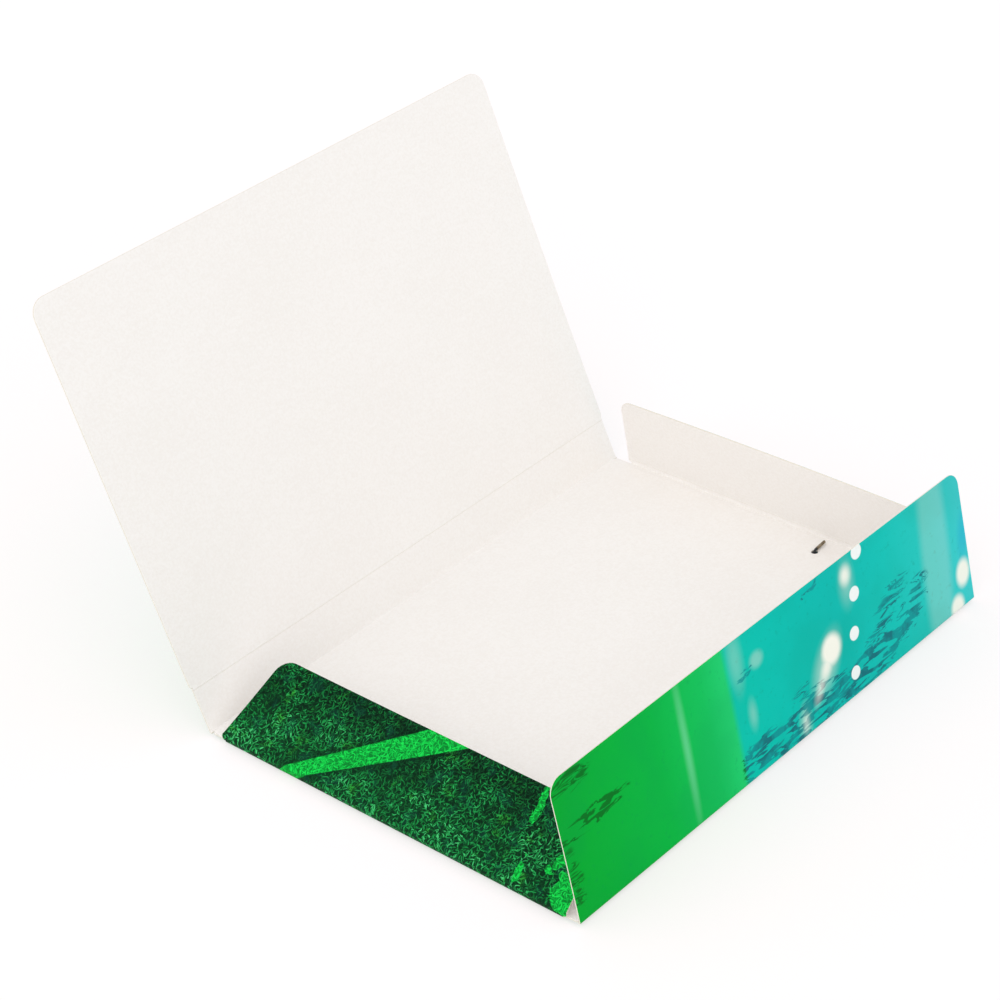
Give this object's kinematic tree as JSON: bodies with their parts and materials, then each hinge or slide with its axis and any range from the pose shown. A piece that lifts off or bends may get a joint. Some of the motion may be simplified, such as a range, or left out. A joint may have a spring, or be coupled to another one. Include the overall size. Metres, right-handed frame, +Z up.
{
  "type": "elastic folder",
  "caption": "Open document folder of creased printed board, with a spine, front cover, side flaps, front flap and corner elastics.",
  "frame": {"origin": "middle of the base panel's printed underside", "axes": "+X along the spine, +Y from the front flap to the spine, +Z up out of the open folder"},
  "size_m": [0.322, 0.3286, 0.2209],
  "materials": {
    "board": "satin",
    "green_print": "gloss",
    "teal_print": "gloss",
    "elastic": "matte",
    "barb": "satin"
  },
  "bodies": {
    "base": {"base_panel": "board", "left_elastic": "elastic", "right_elastic": "elastic", "left_side_barb": "barb", "left_front_barb": "barb", "right_side_barb": "barb", "right_front_barb": "barb"},
    "spine": {"spine_panel": "board"},
    "cover": {"front_cover": "board"},
    "left_wall": {"left_wall": "green_print"},
    "left_flap": {"left_flap": "green_print"},
    "right_wall": {"right_wall": "board"},
    "right_flap": {"right_flap": "board"},
    "front_flap": {"front_flap": "teal_print"}
  },
  "joints": [
    {"name": "spine_fold", "type": "hinge", "parent": "base", "child": "spine", "pos_m": [0, 0.12, 0.0008], "axis": [1, 0, 0], "range_deg": [-67.5, 22.5]},
    {"name": "cover_fold", "type": "hinge", "parent": "spine", "child": "cover", "pos_m": [0, 0.12918, 0.02297], "axis": [1, 0, 0], "range_deg": [-0.8, 63]},
    {"name": "left_wall_fold", "type": "hinge", "parent": "base", "child": "left_wall", "pos_m": [-0.16, 0, 0.0008], "axis": [0, 1, 0], "range_deg": [-90, 0]},
    {"name": "left_flap_fold", "type": "hinge", "parent": "left_wall", "child": "left_flap", "pos_m": [-0.16, 0, 0.0038], "axis": [0, 1, 0], "range_deg": [-60, 30]},
    {"name": "right_wall_fold", "type": "hinge", "parent": "base", "child": "right_wall", "pos_m": [0.16, 0, 0.0008], "axis": [0, -1, 0], "range_deg": [-90, 0]},
    {"name": "right_flap_fold", "type": "hinge", "parent": "right_wall", "child": "right_flap", "pos_m": [0.16, 0, 0.0038], "axis": [0, -1, 0], "range_deg": [-15.5, 74.5]},
    {"name": "front_flap_fold", "type": "hinge", "parent": "base", "child": "front_flap", "pos_m": [0, -0.12, 0.0008], "axis": [-1, 0, 0], "range_deg": [-100, 4]}
  ]
}
